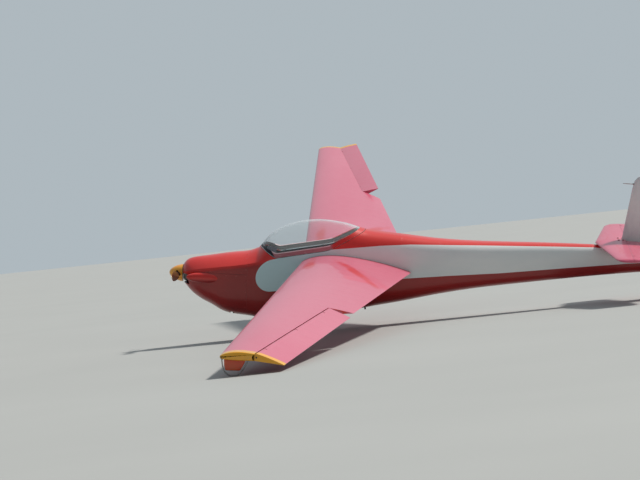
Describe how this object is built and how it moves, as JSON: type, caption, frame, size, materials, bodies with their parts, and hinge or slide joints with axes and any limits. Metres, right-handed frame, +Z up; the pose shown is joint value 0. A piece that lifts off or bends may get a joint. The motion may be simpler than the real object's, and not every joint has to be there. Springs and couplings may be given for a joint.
{
  "type": "single-seat motor glider",
  "caption": "Single-seat motor glider with swept-forward mid wings, nose propeller and hinged canopy, parked leaning on one wing-tip hoop.",
  "frame": {"origin": "on the ground under the middle of the whole aircraft's box, as it is parked", "axes": "+X aft along the fuselage, +Y to starboard along the span, +Z up from the ground; the aircraft leans to port and stands nose-up on its three contacts"},
  "size_m": [6.5808, 14.161, 2.2761],
  "materials": {
    "fuselage_fabric": "gloss",
    "cowl_shell": "gloss",
    "wing_fabric": "gloss",
    "fin_fabric": "gloss",
    "tip_yellow": "gloss",
    "tip_orange": "gloss",
    "spinner_yellow": "gloss",
    "frame_red": "gloss",
    "clear_glass": "polished",
    "propeller_wood": "gloss",
    "seat_wood": "satin",
    "seat_cloth": "matte",
    "panel_black": "matte",
    "engine_metal": "matte",
    "bare_steel": "satin",
    "dark_steel": "satin",
    "wheel_alloy": "satin",
    "tyre_rubber": "matte"
  },
  "bodies": {
    "airframe": {"fuselage_cabin": "fuselage_fabric", "fuselage_boom": "fuselage_fabric", "cowl_upper": "cowl_shell", "cowl_lower": "cowl_shell", "cheek_left": "cowl_shell", "cheek_right": "cowl_shell", "wing_left": "wing_fabric", "wing_right": "wing_fabric", "tailplane": "wing_fabric", "fin": "fin_fabric", "tip_cap_left": "tip_yellow", "tip_cap_right": "tip_yellow", "tip_block_left": "tip_orange", "tip_block_right": "tip_orange", "seat_pan": "seat_wood", "seat_back": "seat_wood", "seat_cushion": "seat_cloth", "back_cushion": "seat_cloth", "instrument_panel": "panel_black", "engine_block": "engine_metal", "tip_hoop_left": "bare_steel", "tip_hoop_right": "bare_steel", "pitot_rod": "bare_steel", "rudder_pedals": "bare_steel", "main_axle": "bare_steel", "engine_mount": "dark_steel", "exhaust_pipe": "dark_steel", "control_stick": "dark_steel", "throttle_lever": "dark_steel", "main_fork": "dark_steel", "tail_bracket": "dark_steel", "belly_stub": "dark_steel"},
    "propeller": {"spinner": "spinner_yellow", "propeller_blades": "propeller_wood", "propeller_shaft": "bare_steel"},
    "canopy": {"canopy_frame": "frame_red", "canopy_glass": "clear_glass"},
    "aileron_right": {"aileron_right": "wing_fabric"},
    "aileron_left": {"aileron_left": "wing_fabric"},
    "elevator": {"elevator": "wing_fabric"},
    "rudder": {"rudder": "fin_fabric"},
    "main_wheel": {"main_tyre": "tyre_rubber", "main_hub": "wheel_alloy"},
    "tail_caster": {"tail_fork": "dark_steel", "tail_axle": "bare_steel"},
    "tail_wheel": {"tail_tyre": "tyre_rubber", "tail_hub": "wheel_alloy"}
  },
  "joints": [
    {"name": "propeller_spin", "type": "hinge", "parent": "airframe", "child": "propeller", "pos_m": [-3.29042, 0.06877, 0.83077], "axis": [-0.9895, -0.0106, 0.1444], "continuous": true},
    {"name": "canopy_open", "type": "hinge", "parent": "airframe", "child": "canopy", "pos_m": [-1.99534, 0.34358, 0.95096], "axis": [-0.9991, 0.0164, -0.039], "range_deg": [0, 85]},
    {"name": "aileron_right_swing", "type": "hinge", "parent": "airframe", "child": "aileron_right", "pos_m": [-1.22047, 4.0388, 1.5224], "axis": [-0.1209, 0.9682, 0.2189], "range_deg": [0, 37]},
    {"name": "aileron_left_swing", "type": "hinge", "parent": "airframe", "child": "aileron_left", "pos_m": [-1.30609, -3.97526, 0.3487], "axis": [0.1418, 0.9876, 0.0675], "range_deg": [-37, 0]},
    {"name": "elevator_swing", "type": "hinge", "parent": "airframe", "child": "elevator", "pos_m": [1.7954, 0.04285, 0.63676], "axis": [0.0106, 0.9894, 0.1449], "range_deg": [-25, 20]},
    {"name": "rudder_swing", "type": "hinge", "parent": "airframe", "child": "rudder", "pos_m": [2.35701, 0.04124, 0.60682], "axis": [0.1444, -0.1449, 0.9789], "range_deg": [-30, 30]},
    {"name": "main_wheel_spin", "type": "hinge", "parent": "airframe", "child": "main_wheel", "pos_m": [-1.92094, 0.14959, 0.17901], "axis": [0.0106, 0.9894, 0.1449], "continuous": true},
    {"name": "tail_wheel_steer", "type": "hinge", "parent": "airframe", "child": "tail_caster", "pos_m": [2.04963, 0.10385, 0.2017], "axis": [0.1444, -0.1449, 0.9789], "range_deg": [-30, 30]},
    {"name": "tail_wheel_spin", "type": "hinge", "parent": "tail_caster", "child": "tail_wheel", "pos_m": [2.11027, 0.11827, 0.09886], "axis": [0.0106, 0.9894, 0.1449], "continuous": true}
  ],
  "couplings": [
    {"joint": "aileron_left_swing", "follows": "aileron_right_swing", "ratio": -1},
    {"joint": "tail_wheel_steer", "follows": "rudder_swing", "ratio": 1}
  ]
}
